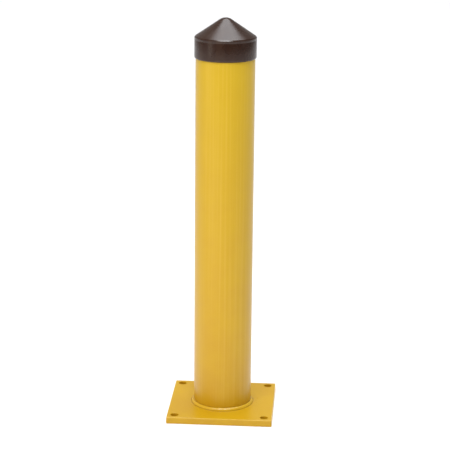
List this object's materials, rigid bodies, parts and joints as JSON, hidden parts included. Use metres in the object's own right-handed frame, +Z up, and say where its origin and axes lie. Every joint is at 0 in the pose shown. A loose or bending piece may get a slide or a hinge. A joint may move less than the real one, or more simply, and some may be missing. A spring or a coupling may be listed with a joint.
{
  "type": "steel safety bollard",
  "caption": "Round steel pipe bollard on a square bolt-down base plate, with a conical push-on cap that lifts off.",
  "frame": {"origin": "centre of the base plate's underside, on the floor", "axes": "+Z up along the pipe's axis; X and Y parallel to the sides of the base plate"},
  "size_m": [0.254, 0.254, 0.9618],
  "materials": {
    "yellow_powder_coat": "safety yellow powder coat, satin, on steel",
    "weld_powder_coat": "the same powder coat over the rippled weld bead",
    "cap_plastic": "dark brown moulded plastic, satin"
  },
  "bodies": {
    "post": {"base_plate": "yellow_powder_coat", "pipe": "yellow_powder_coat", "base_weld": "weld_powder_coat"},
    "cap": {"cap": "cap_plastic"}
  },
  "joints": [
    {"name": "cap_lift", "type": "slide", "parent": "post", "child": "cap", "axis": [0, 0, 1], "range_m": [0, 0.2]}
  ]
}
